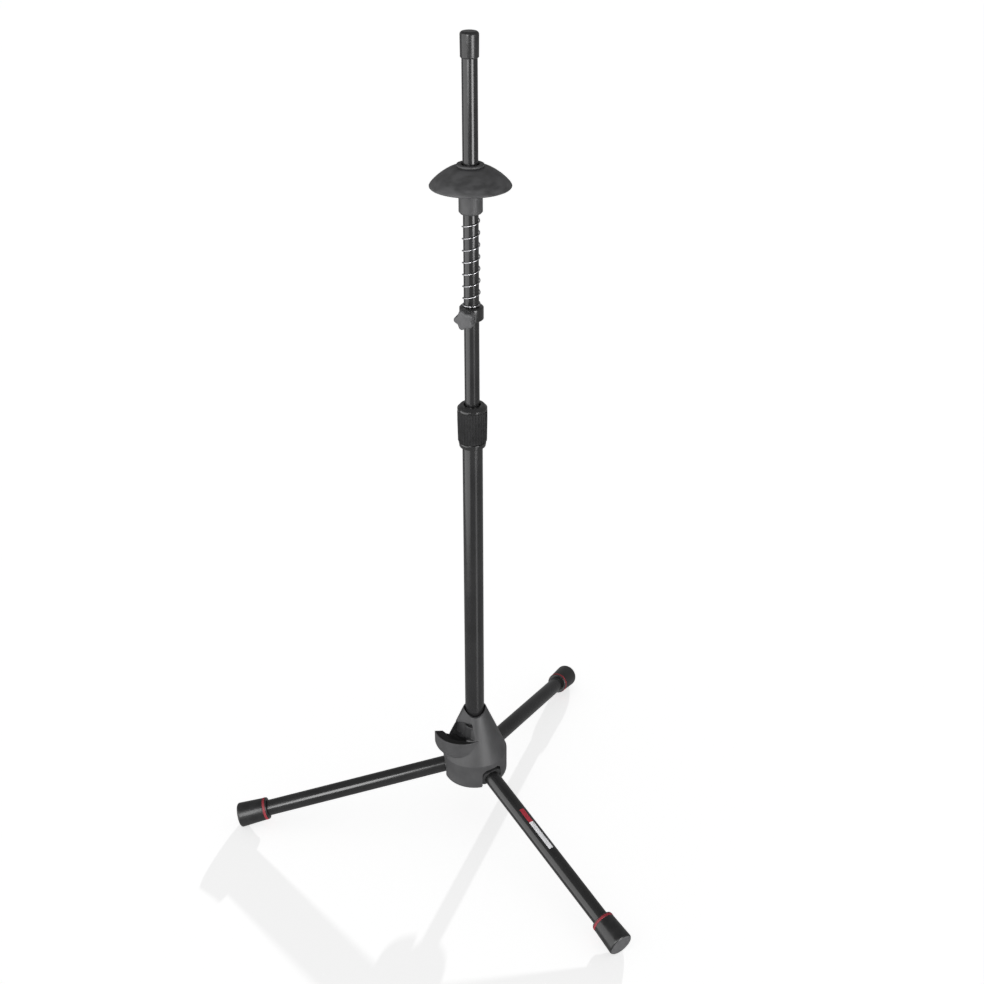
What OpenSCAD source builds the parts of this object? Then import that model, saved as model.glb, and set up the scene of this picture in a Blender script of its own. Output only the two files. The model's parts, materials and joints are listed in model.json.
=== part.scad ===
// Folding floor stand for a trombone: a rubber bell rest on a spring, a telescopic mast with a
// twist lock, and a cone-shaped hub with a slide hook and three fold-down legs.
// Millimetres, +Z up. The origin is on the floor, on the centre line of the mast.

/* [Mast] */
// Height of the top of the rubber cap, at this setting of the mast
top_z = 937; // [915:1:950]
// Outer diameter of the upper rod
rod_d = 16; // [15.6:0.1:16]
// Wall of the upper rod
rod_wall = 1.2; // [1:0.1:1.5]
// Length of the upper rod
rod_length = 500; // [480:1:515]
// Outer diameter of the lower tube
tube_d = 22; // [21.8:0.1:22]
// Wall of the lower tube
tube_wall = 1.5; // [1.2:0.1:1.6]
// Height of the twist lock's top face
lock_top_z = 540; // [536:1:546]

/* [Bell rest] */
// Height of the dome's rim
rim_z = 782.5; // [779:0.5:784]
// Diameter of the dome at its rim
dome_d = 84; // [80:0.5:90]
// Height from the rim to the shoulder round the top ring
dome_h = 19; // [18:0.5:24]
// Outer diameter of the neck sleeve under the dome
neck_d = 24.7; // [23.8:0.1:26]
// Height of the neck sleeve's lower end
neck_bottom_z = 753.5; // [748:0.5:754]

/* [Spring and clamp collar] */
// Height of the clamp collar's top face
collar_top_z = 653; // [650:1:656]
// Outer diameter of the clamp collar
collar_d = 25.5; // [24:0.1:27]
// Height of the clamp collar
collar_h = 15; // [13:0.5:17]
// Direction in which the star knob points, in degrees from +X
knob_azimuth = 248; // [0:1:359]
// Diameter of the star knob over its lobes
knob_d = 22; // [20:0.5:24]
// Wire diameter of the spring
wire_d = 1.2; // [1:0.1:1.4]
// Number of turns of the spring
spring_turns = 10; // [8:1:12]

/* [Hub] */
// Greatest diameter of the hub
hub_d = 75; // [74:0.5:78]
// Diameter of the hub's upper rim
hub_rim_d = 26; // [26:0.1:27]
// Height of the hub's underside
hub_bottom_z = 59; // [58:0.5:60]
// Height at which the band ends and the cone begins
hub_band_z = 91; // [90:0.5:92]
// Height of the hub's upper rim
hub_top_z = 150; // [149:0.5:152]

/* [Slide hook] */
// Height of the hook's upper edge
hook_top_z = 119.5; // [119:0.1:120]
// Radius of the hook's outer edge
hook_outer_r = 33.6; // [33:0.1:34]
// Direction of the flat above the hook, in degrees from +X
flat_azimuth = 221; // [218:1:224]

/* [Legs] */
// Reach from the centre line to the middle of a foot's end face
leg_reach = 280; // [260:1:300]
// Slope of an open leg below level, in degrees
leg_slope = 13.4; // [13:0.1:14]
// Outer diameter of the leg tubes
leg_d = 18; // [17.6:0.1:18]
// Wall of the leg tubes
leg_wall = 1.2; // [1:0.1:1.5]
// Distance from the centre line to the hinge pins
hinge_r = 21; // [21:0.1:21.5]

/* [Feet] */
// Diameter of a foot cap at its end
foot_end_d = 28; // [27:0.1:29]
// Diameter of a foot cap at its mouth
foot_mouth_d = 25; // [24:0.1:26]
// Length of a foot cap
foot_length = 35; // [33:0.5:38]

/* [Hidden] */
$fn = 64;

black_metal = [0.08, 0.08, 0.09];
black_rubber = [0.13, 0.13, 0.14];
grey_rubber = [0.25, 0.25, 0.26];
grey_plastic = [0.33, 0.34, 0.35];
light_plastic = [0.55, 0.56, 0.57];
bright_steel = [0.75, 0.76, 0.78];
crimson = [0.6, 0.13, 0.18];

// Radial clearance of the fits that slide or turn
running = 0.05;
// Added to the length of a cutting tool so that it passes its face
past = 1;

rod_r = rod_d / 2;
rod_bore_r = rod_r - rod_wall;
tube_r = tube_d / 2;
tube_bore_r = tube_r - tube_wall;

// Rubber cap on the rod's end
cap_h = 26;
cap_top_r = 9.55;
cap_bottom_r = 9.35;
cap_end_wall = 4;
rod_top_z = top_z - cap_end_wall;
rod_bottom_z = rod_top_z - rod_length;
cap_edge = 2.5;
cap_mouth_bevel = 0.8;
bush_h = 22;
bush_lip_h = 4;
bush_wall = 2;

// Bell rest
dome_r = dome_d / 2;
dome_wall = 4.5;
rim_round_r = 1.5;
dome_shoulder_r = 18;
dome_power = 1.6;
dome_steps = 14;
shoulder_z = rim_z + dome_h;
ring_seat_z = shoulder_z + 0.6;
ring_r = 14.3;
ring_h = 3;
ring_bore_r = 9.2;
ring_edge = 1;
stem_r = ring_r - 1.5;
core_flange_h = 3;
core_flange_r = dome_shoulder_r - 2;
core_taper_h = 4;
core_bore_r = rod_r + running;
neck_r = neck_d / 2;
neck_chamfer_h = 1.8;
neck_chamfer_w = 1.5;
spring_seat_z = neck_bottom_z + 7;
spring_seat_r = 9.9;

// Spring: a closed coil on the rod, from the collar into the neck
spring_gap = 0.35;
spring_r = rod_r + spring_gap + wire_d / 2;
spring_closed = wire_d * 1.15;
spring_z0 = collar_top_z + wire_d / 2;
spring_z1 = spring_seat_z - wire_d / 2;
wire_sides = 8;
turn_steps = 20;

// Clamp collar, its screw and its star knob
collar_r = collar_d / 2;
collar_bottom_z = collar_top_z - collar_h;
collar_bevel = 1.6;
collar_low_bevel = 0.8;
screw_z = collar_top_z - collar_h / 2;
screw_r = 2.5;
screw_tip_r = rod_r + 0.02;
screw_end_r = 24;
knob_boss_r = 5;
knob_boss_gap = 0.4;
knob_back_r = 16.5;
knob_face_r = 27;
knob_lobes = 5;
knob_wave = 1.3;
knob_step = 6;
knob_phase = -17;

// Twist lock
lock_ring_h = 6;
lock_ring_r = 16.1;
lock_ring_bevel_h = 3.5;
lock_ring_bevel_w = 3.2;
grip_r = 16.2;
grip_bottom_z = lock_top_z - 43;
grip_ribs = 30;
rib_depth = 1;
sleeve_r = 14.2;
thread_r = 12.6;
sleeve_lip_h = 2;
sleeve_cone_h = 6;
lock_base_z = lock_top_z - 49;
lock_base_top_z = lock_top_z - 16;
lock_base_r = 14.8;
lock_base_low_r = 14.2;
lock_base_taper_h = 4;
lock_base_gap = 0.5;
tube_top_z = lock_top_z - 22;
collet_h = 26;
collet_drop = 3;
collet_cone_h = 5;
collet_slot = 1.2;
collet_nose_r = 9.6;

// Hub
hub_r = hub_d / 2;
hub_rim_r = hub_rim_d / 2;
hub_round = 6;
mouth_r = 12.3;
mouth_depth = 12;
scallop_r = 17;
scallop_drop = 5.8;
socket_z = 95;

// Flat and window above the hook
flat_lean = 8;
flat_distance = 12.9;
flat_foot = -31;
window_right = 10;
window_left = 24;
window_sill = -42;
window_head = -15;
window_slope = 17.5;
window_bevel = 2.5;
core_r = 12.8;
core_top_z = 128;

// Hook: an arm that sweeps round a centre beside the mast
hook_centre = [-14, 3];
hook_tip_azimuth = 187;
hook_root_azimuth = 300;
hook_wall_h = 13;
hook_low_z = 94;
hook_low_r = 22;
hook_rim_w = 1.2;
liner_h = 2;

// Leg hinges
knuckle_w = 24;
knuckle_round = 7;
knuckle_flat = 5.5;
knuckle_r = 9.4;
knuckle_l = 14;
knuckle_plug_l = 30;
slot_w = 25;
slot_round = 7;
slot_back = 9.8;
pin_r = 2.5;
pin_l = 34.8;
groove_l = 5.1;
groove_r = 2.6;

// Base plate under the hub
plate_r = 30.4;
plate_h = 3;
plate_gap = 0.05;
bolt_r = 3;
bolt_head_r = 5.6;
bolt_head_h = 2.6;
bolt_top_z = 112;
plug_top_z = 118;

// Legs and feet
leg_azimuths = [180, 300, 60];
leg_r = leg_d / 2;
foot_end_r = foot_end_d / 2;
foot_mouth_r = foot_mouth_d / 2;
foot_round = 2.5;
foot_tread = 0.8;
foot_end_wall = 4;
foot_lip = 1.5;
foot_ring_w = 3;
foot_ring_in = 1.3;
foot_ring_out = 0.35;
foot_z = (foot_end_r - foot_round) * cos(leg_slope) + foot_round * (1 - sin(leg_slope)) - foot_tread;
hinge_z = foot_z + (leg_reach - hinge_r) * tan(leg_slope);
leg_l = (leg_reach - hinge_r) / cos(leg_slope);
slot_top_z = hinge_z + 10.2;
label_start = 74;
label_end = 134;
label_arc = 33;
label_thick = 0.15;

// A round tube from z0 to z1
module pipe(outer_r, bore_r, z0, z1) {
    translate([0, 0, z0]) difference() {
        cylinder(r = outer_r, h = z1 - z0);
        translate([0, 0, -past]) cylinder(r = bore_r, h = z1 - z0 + 2 * past);
    }
}

// A turned solid about the mast, from an outline of [radius, z] points
module turned(outline) {
    rotate_extrude() polygon(outline);
}

// Places children in a leg's own frame: +X runs out along the leg from its hinge
module in_leg(azimuth) {
    rotate([0, 0, azimuth]) translate([hinge_r, 0, hinge_z]) rotate([0, leg_slope, 0]) children();
}

// Turned solid about a leg's own axis, from an outline of [radius, distance] points
module turned_on_leg(outline) {
    rotate([0, 90, 0]) rotate_extrude() polygon(outline);
}

// Mast ------------------------------------------------------------------------------------

module top_cap() {
    z0 = top_z - cap_h;
    arc = [for (a = [0 : 15 : 90])
        [cap_top_r - cap_edge + cap_edge * cos(a), top_z - cap_edge + cap_edge * sin(a)]];
    color(black_rubber) turned(concat(
        [[rod_r, z0], [cap_bottom_r - cap_mouth_bevel, z0], [cap_bottom_r, z0 + cap_mouth_bevel]],
        arc,
        [[0, top_z], [0, rod_top_z], [rod_r, rod_top_z]]
    ));
}

module upper_rod() {
    color(black_metal) pipe(rod_r, rod_bore_r, rod_bottom_z, rod_top_z);
}

// Guide on the rod's lower end, plugged into the rod and running in the lower tube
module rod_guide_bush() {
    color(grey_plastic) difference() {
        union() {
            translate([0, 0, rod_bottom_z - bush_lip_h])
                cylinder(r = tube_bore_r - running, h = bush_lip_h);
            translate([0, 0, rod_bottom_z]) cylinder(r = rod_bore_r, h = bush_h);
        }
        translate([0, 0, rod_bottom_z - bush_lip_h - past])
            cylinder(r = rod_bore_r - bush_wall, h = bush_h + bush_lip_h + 2 * past);
    }
}

// Bell rest -------------------------------------------------------------------------------

// Outline of the dome's outer skin, from the shoulder to the rim
function dome_skin(r, h, z) = [for (i = [0 : dome_steps])
    let (a = 90 * i / dome_steps)
    [dome_shoulder_r + (r - dome_shoulder_r) * pow(sin(a), dome_power), z + h * pow(cos(a), dome_power)]];

module bell_dome() {
    rim = [for (a = [-30 : -30 : -150])
        [dome_r - rim_round_r + rim_round_r * cos(a), rim_z + rim_round_r * sin(a)]];
    outer = dome_skin(dome_r, dome_h, rim_z);
    inner = dome_skin(dome_r - 2 * rim_round_r, dome_h - dome_wall, rim_z);
    inner_up = [for (i = [len(inner) - 1 : -1 : 0]) inner[i]];
    seat_z = shoulder_z - dome_wall;
    color(grey_rubber) turned(concat(
        [[stem_r, ring_seat_z], [ring_r, ring_seat_z]],
        outer, rim, inner_up,
        [[stem_r, seat_z]]
    ));
}

// Hard core that carries the dome and slides on the rod
module dome_core() {
    flange_z = shoulder_z - dome_wall - core_flange_h;
    color(grey_plastic) turned([
        [spring_seat_r, neck_bottom_z], [neck_r - neck_chamfer_w, neck_bottom_z],
        [neck_r, neck_bottom_z + neck_chamfer_h], [neck_r, flange_z - core_taper_h],
        [core_flange_r, flange_z], [core_flange_r, flange_z + core_flange_h],
        [stem_r, flange_z + core_flange_h], [stem_r, ring_seat_z],
        [core_bore_r, ring_seat_z], [core_bore_r, spring_seat_z], [spring_seat_r, spring_seat_z]
    ]);
}

// Ring that holds the dome down on its core
module dome_ring() {
    z1 = ring_seat_z + ring_h;
    color(black_rubber) turned([
        [ring_bore_r, ring_seat_z], [ring_r, ring_seat_z],
        [ring_r, z1 - ring_edge], [ring_r - ring_edge, z1],
        [ring_bore_r + ring_edge, z1], [ring_bore_r, z1 - ring_edge]
    ]);
}

// Wire of the spring, swept round the rod along a right-hand helix with a closed turn at each end
module bell_spring() {
    rings = spring_turns * turn_steps;
    live = (spring_z1 - spring_z0 - 2 * spring_closed) / (spring_turns - 2);
    function height_at(t) = spring_z0 + spring_closed * (min(t, 1) + max(t - spring_turns + 1, 0))
        + live * min(max(t - 1, 0), spring_turns - 2);
    points = [for (i = [0 : rings], j = [0 : wire_sides - 1])
        let (t = i / turn_steps, a = 360 * t, b = 360 * j / wire_sides,
            r = spring_r + wire_d / 2 * cos(b), z = height_at(t) + wire_d / 2 * sin(b))
        [r * cos(a), r * sin(a), z]];
    sides = [for (i = [0 : rings - 1], j = [0 : wire_sides - 1])
        let (k = (j + 1) % wire_sides)
        [i * wire_sides + j, i * wire_sides + k, (i + 1) * wire_sides + k, (i + 1) * wire_sides + j]];
    start = [for (j = [wire_sides - 1 : -1 : 0]) j];
    finish = [for (j = [0 : wire_sides - 1]) rings * wire_sides + j];
    color(bright_steel) polyhedron(points = points, faces = concat(sides, [start, finish]));
}

// Clamp collar ----------------------------------------------------------------------------

// Places children on the clamp screw's axis: +Z runs out through the knob
module on_screw() {
    translate([0, 0, screw_z]) rotate([0, 0, knob_azimuth]) rotate([0, 90, 0]) children();
}

module clamp_collar() {
    color(black_metal) difference() {
        turned([
            [core_bore_r, collar_bottom_z], [collar_r - collar_low_bevel, collar_bottom_z],
            [collar_r, collar_bottom_z + collar_low_bevel], [collar_r, collar_top_z - collar_bevel],
            [collar_r - collar_bevel, collar_top_z], [core_bore_r, collar_top_z]
        ]);
        on_screw() cylinder(r = screw_r + running, h = collar_r + past);
    }
}

module clamp_screw() {
    color(bright_steel) on_screw() translate([0, 0, screw_tip_r])
        cylinder(r = screw_r, h = screw_end_r - screw_tip_r);
}

module star_knob() {
    star = [for (a = [0 : knob_step : 360 - knob_step])
        (knob_d / 2 - knob_wave * (1 - cos(knob_lobes * (a - knob_phase)))) * [cos(a), sin(a)]];
    color(grey_plastic) on_screw() difference() {
        union() {
            translate([0, 0, collar_r + knob_boss_gap])
                cylinder(r = knob_boss_r, h = knob_back_r - collar_r);
            translate([0, 0, knob_back_r]) linear_extrude(knob_face_r - knob_back_r) polygon(star);
        }
        translate([0, 0, collar_r]) cylinder(r = screw_r, h = screw_end_r - collar_r);
    }
}

// Twist lock ------------------------------------------------------------------------------

module lock_ring() {
    z0 = lock_top_z - lock_ring_h;
    color(black_metal) turned([
        [ring_bore_r, z0], [lock_ring_r, z0], [lock_ring_r, lock_top_z - lock_ring_bevel_h],
        [lock_ring_r - lock_ring_bevel_w, lock_top_z], [ring_bore_r, lock_top_z]
    ]);
}

module lock_grip() {
    ribs = [for (i = [0 : 6 * grip_ribs - 1]) let (a = 60 * i / grip_ribs)
        (grip_r - rib_depth / 2 * (1 - cos(grip_ribs * a))) * [cos(a), sin(a)]];
    h = lock_top_z - lock_ring_h - grip_bottom_z;
    color(black_rubber) translate([0, 0, grip_bottom_z]) difference() {
        linear_extrude(h) polygon(ribs);
        translate([0, 0, -past]) cylinder(r = sleeve_r, h = h + 2 * past);
    }
}

// Hard sleeve inside the grip, screwed on the fixed base and closing over the collet
module lock_sleeve() {
    z1 = lock_top_z - lock_ring_h;
    color(grey_plastic) turned([
        [thread_r + running, grip_bottom_z], [sleeve_r, grip_bottom_z], [sleeve_r, z1],
        [ring_bore_r, z1], [ring_bore_r, z1 - sleeve_lip_h], [thread_r + running, z1 - sleeve_cone_h]
    ]);
}

// Split collet that grips the rod when the sleeve is turned down on its taper
module lock_collet() {
    z1 = lock_top_z - lock_ring_h - collet_drop;
    z0 = z1 - collet_h;
    color(light_plastic) difference() {
        turned([
            [rod_r + running, z0], [tube_bore_r, z0], [tube_bore_r, tube_top_z], [tube_r, tube_top_z],
            [tube_r, z1 - collet_cone_h], [collet_nose_r, z1], [rod_r + running, z1]
        ]);
        for (turn = [0, 90]) rotate([0, 0, turn])
            translate([-tube_r - past, -collet_slot / 2, tube_top_z])
                cube([2 * tube_r + 2 * past, collet_slot, collet_h]);
    }
}

// Threaded ferrule fixed on the top of the lower tube
module lock_base() {
    color(black_metal) turned([
        [tube_r, lock_base_z], [lock_base_low_r, lock_base_z],
        [lock_base_r, lock_base_z + lock_base_taper_h], [lock_base_r, grip_bottom_z - lock_base_gap],
        [thread_r, grip_bottom_z - lock_base_gap],
        [thread_r, lock_base_top_z], [tube_r, lock_base_top_z]
    ]);
}

module lower_tube() {
    color(black_metal) pipe(tube_r, tube_bore_r, socket_z, tube_top_z);
}

// Threaded plug that closes the lower tube and takes the hub bolt
module tube_plug() {
    color(grey_plastic) difference() {
        translate([0, 0, socket_z]) cylinder(r = tube_bore_r, h = plug_top_z - socket_z);
        translate([0, 0, socket_z - past]) cylinder(r = bolt_r, h = bolt_top_z - socket_z + past);
    }
}

// Hub -------------------------------------------------------------------------------------

// Places children on the flat: +X faces out, +Z runs up the flat, at the height of the rim
module on_flat() {
    rotate([0, 0, flat_azimuth]) translate([flat_distance, 0, hub_top_z])
        rotate([0, -flat_lean, 0]) children();
}

// Hollow behind the window, reaching in to the core round the mast; its head slopes down to the left
module window_hollow() {
    reach = window_right + window_left;
    difference() {
        on_flat() translate([-hub_rim_r, 0, 0]) rotate([90, 0, 90]) linear_extrude(hub_r) polygon([
            [window_right, window_sill], [window_right, window_head],
            [-window_left, window_head - reach * tan(window_slope)], [-window_left, window_sill]
        ]);
        cylinder(r = core_r, h = core_top_z);
    }
}

// Bevel along the window's head
module window_head_bevel() {
    reach = window_right + window_left;
    on_flat() translate([-window_bevel, window_right, window_head]) rotate([window_slope, 0, 0])
        rotate([0, -45, 0]) translate([-window_bevel, -reach, -hub_rim_r])
            cube([hub_r, reach + past, hub_rim_r]);
}

// Scallop that lowers the rim in front and behind, and leaves a peak on each side
module rim_scallop() {
    translate([0, 0, hub_top_z - scallop_drop + scallop_r]) rotate([90, 0, 0])
        cylinder(r = scallop_r, h = 4 * hub_rim_r, center = true);
}

// Arm of the hook, from an outline of [radius, z] points round the hook's own centre
module hook_arm(outline) {
    translate([hook_centre[0], hook_centre[1], 0]) rotate([0, 0, hook_tip_azimuth])
        rotate_extrude(angle = hook_root_azimuth - hook_tip_azimuth) polygon(outline);
}

// Arched slot that a leg folds down through, open outwards and below
module leg_slot() {
    corner_y = slot_w / 2 - slot_round;
    corner_z = slot_top_z - slot_round;
    arch = [for (side = [-1, 1], a = [0 : 15 : 90]) let (b = side < 0 ? 180 - a : 90 - a)
        [side * corner_y + slot_round * cos(b), corner_z + slot_round * sin(b)]];
    translate([hinge_r - slot_back, 0, 0]) rotate([90, 0, 90]) linear_extrude(hub_r)
        polygon(concat(arch, [[slot_w / 2, 0], [-slot_w / 2, 0]]));
}

// Groove that holds one end of a hinge pin, with an arched top and open below
module pin_groove(side) {
    reach = slot_w / 2 + groove_l;
    arch = [for (a = [180 : -30 : 0]) [hinge_r + groove_r * cos(a), hinge_z + groove_r * sin(a)]];
    translate([0, side > 0 ? reach : 1 - slot_w / 2, 0]) rotate([90, 0, 0]) linear_extrude(groove_l + 1)
        polygon(concat(arch, [[hinge_r + groove_r, 0], [hinge_r - groove_r, 0]]));
}

// Turned cone and band of the hub, with the flat and the window cut above the hook
module hub_cone() {
    skirt = [for (a = [-90 : 15 : 0])
        [hub_r - hub_round + hub_round * cos(a), hub_bottom_z + hub_round + hub_round * sin(a)]];
    difference() {
        turned(concat([[0, hub_bottom_z]], skirt,
            [[hub_r, hub_band_z], [hub_rim_r, hub_top_z], [0, hub_top_z]]));
        on_flat() translate([0, -hub_r, flat_foot]) cube([hub_r, 2 * hub_r, hub_top_z]);
        window_hollow();
        window_head_bevel();
        rim_scallop();
    }
}

// Floor of the hook's trough, as [radius, depth below the hook's edge] points from its rim inwards
trough = [[hook_outer_r - hook_rim_w, 0.5], [hook_outer_r - 9.5, 1.5], [hook_outer_r - 13.5, 6],
    [hook_outer_r - 18.5, 8], [hook_outer_r - 26, 9]];

// Solid of the hook under its lining: wide at the rim, tapering into the band below
module hook_lug() {
    side_z = hook_top_z - hook_wall_h;
    low = [for (a = [-75 : 15 : 0])
        [hook_low_r + (hook_outer_r - hook_low_r) * cos(a), side_z + (side_z - hook_low_z) * sin(a)]];
    floor = [for (p = trough) [p[0], hook_top_z - p[1] - liner_h]];
    hook_arm(concat([[trough[4][0], hook_low_z]], low,
        [[hook_outer_r, hook_top_z], [hook_outer_r - hook_rim_w, hook_top_z]], floor));
}

module hub_body() {
    color(grey_plastic) difference() {
        difference() {
            union() {
                hub_cone();
                hook_lug();
            }
            for (azimuth = leg_azimuths) rotate([0, 0, azimuth]) leg_slot();
        }
        translate([0, 0, socket_z]) cylinder(r = tube_r, h = hub_top_z);
        translate([0, 0, hub_top_z - mouth_depth]) cylinder(r = mouth_r, h = hub_top_z);
        translate([0, 0, hub_bottom_z - past]) cylinder(r = plate_r + plate_gap, h = plate_h + past);
        cylinder(r = bolt_r, h = hub_top_z);
        for (azimuth = leg_azimuths, side = [-1, 1]) rotate([0, 0, azimuth]) pin_groove(side);
    }
}

// Rubber lining of the hook's trough, running in through the window to the core
module hook_liner() {
    top = [for (p = trough) [p[0], hook_top_z - p[1]]];
    floor = [for (i = [len(trough) - 1 : -1 : 0]) [trough[i][0], hook_top_z - trough[i][1] - liner_h]];
    color(black_rubber) difference() {
        hook_arm(concat(top, floor));
        hub_cone();
    }
}

module hub_base_plate() {
    rib_w = 2 * pin_r;
    rib_y = slot_w / 2 + 0.3;
    rib_l = groove_l - 0.6;
    color(grey_plastic) {
        difference() {
            translate([0, 0, hub_bottom_z]) cylinder(r = plate_r, h = plate_h);
            translate([0, 0, hub_bottom_z - past]) cylinder(r = bolt_r, h = plate_h + 2 * past);
            translate([0, 0, hub_bottom_z]) cylinder(r1 = bolt_head_r, r2 = bolt_r, h = bolt_head_h);
            for (azimuth = leg_azimuths) rotate([0, 0, azimuth])
                translate([hinge_r - slot_back, -slot_w / 2, 0]) cube([hub_r, slot_w, hub_top_z]);
        }
        for (azimuth = leg_azimuths, side = [-1, 1]) rotate([0, 0, azimuth])
            translate([hinge_r - pin_r, side > 0 ? rib_y : -rib_y - rib_l, hub_bottom_z + plate_h])
                cube([rib_w, rib_l, hinge_z - pin_r - hub_bottom_z - plate_h]);
    }
}

// Countersunk bolt that holds the plate, the hub and the lower tube together
module hub_bolt() {
    color(bright_steel) difference() {
        union() {
            translate([0, 0, hub_bottom_z]) cylinder(r1 = bolt_head_r, r2 = bolt_r, h = bolt_head_h);
            translate([0, 0, hub_bottom_z]) cylinder(r = bolt_r, h = bolt_top_z - hub_bottom_z);
        }
        translate([0, 0, hub_bottom_z - past]) cylinder(r = 2, h = 2 + past, $fn = 6);
    }
}

module hinge_pins() {
    color(bright_steel) for (azimuth = leg_azimuths) rotate([0, 0, azimuth])
        translate([hinge_r, -pin_l / 2, hinge_z]) rotate([-90, 0, 0]) cylinder(r = pin_r, h = pin_l);
}

// Legs ------------------------------------------------------------------------------------

// Half outline of a leg's head, as [distance from the pin's axis, distance along the pin] points
function knuckle_edge() =
    let (round_r = knuckle_r - knuckle_round, round_y = knuckle_flat,
        last = asin((knuckle_w / 2 - round_y) / knuckle_round))
    [for (a = [0 : last / 6 : last + 0.01])
        [round_r + knuckle_round * cos(a), round_y + knuckle_round * sin(a)]];

// Moulded end of a leg: a rounded head with the hinge bore, and a plug inside the leg tube
module leg_knuckle(azimuth) {
    edge = knuckle_edge();
    steps = len(edge) - 1;
    low = [for (i = [steps : -1 : 0]) [edge[i][0], -edge[i][1]]];
    right = concat([[0, -knuckle_w / 2]], low, edge, [[0, knuckle_w / 2]]);
    left = [for (i = [len(edge) - 1 : -1 : 0]) [-edge[i][0], edge[i][1]]];
    left_low = [for (p = edge) [-p[0], -p[1]]];
    color(light_plastic) in_leg(azimuth) difference() {
        union() {
            rotate([90, 0, 0]) rotate([0, 0, 90]) rotate_extrude(angle = 180) polygon(right);
            rotate([0, 90, 0]) linear_extrude(knuckle_l) polygon(concat(low, edge, left, left_low));
            rotate([0, 90, 0]) cylinder(r = leg_r - leg_wall, h = knuckle_l + knuckle_plug_l);
        }
        translate([0, knuckle_w / 2 + past, 0]) rotate([90, 0, 0])
            cylinder(r = pin_r + running, h = knuckle_w + 2 * past);
    }
}

module leg_tube(azimuth) {
    color(black_metal) in_leg(azimuth) rotate([0, 90, 0])
        pipe(leg_r, leg_r - leg_wall, knuckle_l, leg_l - foot_end_wall);
}

// Radius of the foot cap's outer skin at a distance x behind its end face
function foot_skin(x) = foot_end_r - (foot_end_r - foot_mouth_r) * x / foot_length;

// Rubber foot: a flared cap with a groove for its ring, trimmed to a flat tread on the floor
module leg_foot(azimuth) {
    x0 = leg_l - foot_length;
    ring0 = x0 + foot_lip;
    ring1 = ring0 + foot_ring_w;
    groove_r = foot_mouth_r - foot_ring_in;
    edge = [for (a = [0 : 15 : 90])
        [foot_end_r - foot_round + foot_round * cos(a), leg_l - foot_round + foot_round * sin(a)]];
    color(black_rubber) difference() {
        in_leg(azimuth) turned_on_leg(concat(
            [[leg_r, x0], [foot_mouth_r - 0.5, x0], [foot_mouth_r, x0 + 0.5], [foot_mouth_r, ring0],
             [groove_r, ring0], [groove_r, ring1], [foot_skin(leg_l - ring1), ring1]],
            edge,
            [[0, leg_l], [0, leg_l - foot_end_wall], [leg_r, leg_l - foot_end_wall]]
        ));
        translate([-2 * leg_reach, -2 * leg_reach, -10]) cube([4 * leg_reach, 4 * leg_reach, 10]);
    }
}

module leg_foot_ring(azimuth) {
    x0 = leg_l - foot_length + foot_lip;
    color(crimson) in_leg(azimuth) rotate([0, 90, 0])
        pipe(foot_mouth_r + foot_ring_out, foot_mouth_r - foot_ring_in, x0, x0 + foot_ring_w);
}

// Plain two-colour sticker on the top of the front leg
module leg_label() {
    color("white") in_leg(leg_azimuths[1]) rotate([0, 90, 0]) rotate([0, 0, 180 - label_arc / 2])
        translate([0, 0, label_start]) rotate_extrude(angle = label_arc)
            translate([leg_r, 0]) square([label_thick, label_end - label_start]);
}

top_cap();
upper_rod();
rod_guide_bush();
bell_dome();
dome_core();
dome_ring();
bell_spring();
clamp_collar();
clamp_screw();
star_knob();
lock_ring();
lock_grip();
lock_sleeve();
lock_collet();
lock_base();
lower_tube();
tube_plug();
hub_body();
hook_liner();
hub_base_plate();
hub_bolt();
hinge_pins();
leg_knuckle(leg_azimuths[0]);  // leg_left_knuckle
leg_tube(leg_azimuths[0]);  // leg_left_tube
leg_foot(leg_azimuths[0]);  // leg_left_foot
leg_foot_ring(leg_azimuths[0]);  // leg_left_foot_ring
leg_knuckle(leg_azimuths[1]);  // leg_front_knuckle
leg_tube(leg_azimuths[1]);  // leg_front_tube
leg_foot(leg_azimuths[1]);  // leg_front_foot
leg_foot_ring(leg_azimuths[1]);  // leg_front_foot_ring
leg_knuckle(leg_azimuths[2]);  // leg_back_knuckle
leg_tube(leg_azimuths[2]);  // leg_back_tube
leg_foot(leg_azimuths[2]);  // leg_back_foot
leg_foot_ring(leg_azimuths[2]);  // leg_back_foot_ring
leg_label();
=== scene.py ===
"""Looks of the folding trombone stand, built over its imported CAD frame.

Places come from the frame, in metres. Measures that the nodes' boxes don't give are in mm.
"""
import json
import math

import bmesh
import bpy
from mathutils import Matrix, Vector


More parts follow.
